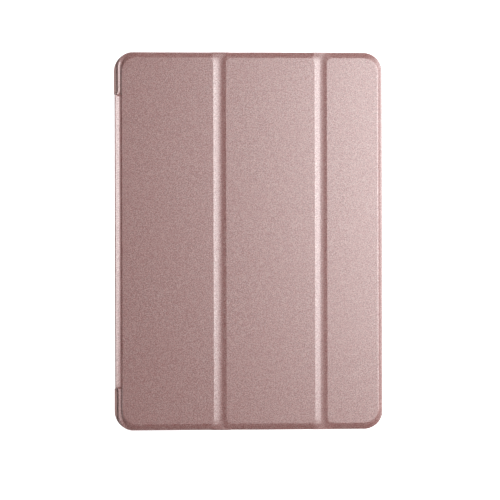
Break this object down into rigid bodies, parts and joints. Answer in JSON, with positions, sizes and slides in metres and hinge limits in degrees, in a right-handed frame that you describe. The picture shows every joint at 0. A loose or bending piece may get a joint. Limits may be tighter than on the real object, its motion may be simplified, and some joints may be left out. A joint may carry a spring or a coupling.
{
  "type": "tablet computer",
  "caption": "Slate tablet computer clipped into a thin back cover, under a closed folio that folds at its spine and creases, with press buttons.",
  "frame": {"origin": "on the surface that the back lies on, under the centre of the outline", "axes": "+X to the right of the closed front, away from the spine; +Y to the top of the front; +Z out of the front"},
  "size_m": [0.1728, 0.2434, 0.0115],
  "materials": {
    "shell_plastic": "satin, metallic pearl",
    "housing_metal": "fine blasted",
    "front_glass": "gloss",
    "seal": "matt",
    "display_cell": "gloss",
    "backlight": "matt",
    "battery_foil": "matt",
    "circuit_board": "satin",
    "tin_plate": "satin",
    "chip_black": "matt",
    "steel": "satin",
    "lens_glass": "gloss",
    "part_plastic": "matt",
    "grille": "matt",
    "ribbon": "satin",
    "magnet": "satin",
    "home_key": "gloss",
    "leatherette": "satin, metallic pearl with a fine grain",
    "suede": "fine suede",
    "grey_board": "matt"
  },
  "bodies": {
    "tablet": {"back_shell": "shell_plastic", "rear_housing": "housing_metal", "cover_glass": "front_glass", "glass_gasket": "seal", "display_panel": "display_cell", "backlight_unit": "backlight", "battery_cell_left": "battery_foil", "battery_cell_right": "battery_foil", "battery_board": "circuit_board", "logic_board": "circuit_board", "board_shields": "tin_plate", "board_chips": "chip_black", "board_screws": "steel", "rear_camera": "chip_black", "camera_lens_ring": "housing_metal", "camera_lens_glass": "lens_glass", "front_camera": "chip_black", "speaker_left": "part_plastic", "speaker_right": "part_plastic", "speaker_grilles": "grille", "charge_port": "tin_plate", "charge_port_tongue": "part_plastic", "port_flex": "ribbon", "audio_jack": "part_plastic", "display_flex": "ribbon", "touch_flex": "ribbon", "antenna_left": "ribbon", "antenna_right": "ribbon", "housing_magnets": "magnet", "hall_sensor": "chip_black", "home_button_bracket": "steel", "home_button_switch": "part_plastic", "power_switch": "part_plastic", "volume_switches": "part_plastic", "spine_flap": "leatherette"},
    "spine": {"spine_skin": "leatherette", "spine_lining": "suede", "spine_front_fold": "leatherette", "spine_back_fold": "leatherette"},
    "panel_1": {"panel_1_skin": "leatherette", "panel_1_board": "grey_board", "panel_1_lining": "suede", "stand_plate": "steel"},
    "crease_1": {"crease_1_web": "leatherette"},
    "panel_2": {"panel_2_skin": "leatherette", "panel_2_board": "grey_board", "panel_2_lining": "suede"},
    "crease_2": {"crease_2_web": "leatherette"},
    "panel_3": {"panel_3_skin": "leatherette", "panel_3_board": "grey_board", "panel_3_lining": "suede", "closing_magnets": "magnet"},
    "home_key": {"home_button": "home_key"},
    "power_key": {"power_button": "housing_metal"},
    "volume_up_key": {"volume_up_button": "housing_metal"},
    "volume_down_key": {"volume_down_button": "housing_metal"}
  },
  "joints": [
    {"name": "spine_back_fold", "type": "hinge", "parent": "tablet", "child": "spine", "pos_m": [-0.08525, 0, 0.00065], "axis": [0, -1, 0], "range_deg": [0, 179]},
    {"name": "spine_front_fold", "type": "hinge", "parent": "spine", "child": "panel_1", "pos_m": [-0.0852, 0, 0.0098], "axis": [0, 1, 0], "range_deg": [-179, 0]},
    {"name": "crease_1_near", "type": "hinge", "parent": "panel_1", "child": "crease_1", "pos_m": [-0.02105, 0, 0.0098], "axis": [0, -1, 0], "range_deg": [0, 88]},
    {"name": "crease_1_far", "type": "hinge", "parent": "crease_1", "child": "panel_2", "pos_m": [-0.01575, 0, 0.0098], "axis": [0, -1, 0], "range_deg": [0, 88]},
    {"name": "crease_2_near", "type": "hinge", "parent": "panel_2", "child": "crease_2", "pos_m": [0.04425, 0, 0.0098], "axis": [0, 1, 0], "range_deg": [-88, 0]},
    {"name": "crease_2_far", "type": "hinge", "parent": "crease_2", "child": "panel_3", "pos_m": [0.04955, 0, 0.0098], "axis": [0, 1, 0], "range_deg": [-88, 0]},
    {"name": "home_press", "type": "slide", "parent": "tablet", "child": "home_key", "axis": [0, 0, -1], "range_m": [0, 0.0003], "stiffness_N_per_m": 2000, "springref_m": -0.0003},
    {"name": "power_press", "type": "slide", "parent": "tablet", "child": "power_key", "axis": [0, -1, 0], "range_m": [0, 0.00035], "stiffness_N_per_m": 1500, "springref_m": -0.0003},
    {"name": "volume_up_press", "type": "slide", "parent": "tablet", "child": "volume_up_key", "axis": [-1, 0, 0], "range_m": [0, 0.00035], "stiffness_N_per_m": 1500, "springref_m": -0.0003},
    {"name": "volume_down_press", "type": "slide", "parent": "tablet", "child": "volume_down_key", "axis": [-1, 0, 0], "range_m": [0, 0.00035], "stiffness_N_per_m": 1500, "springref_m": -0.0003}
  ]
}
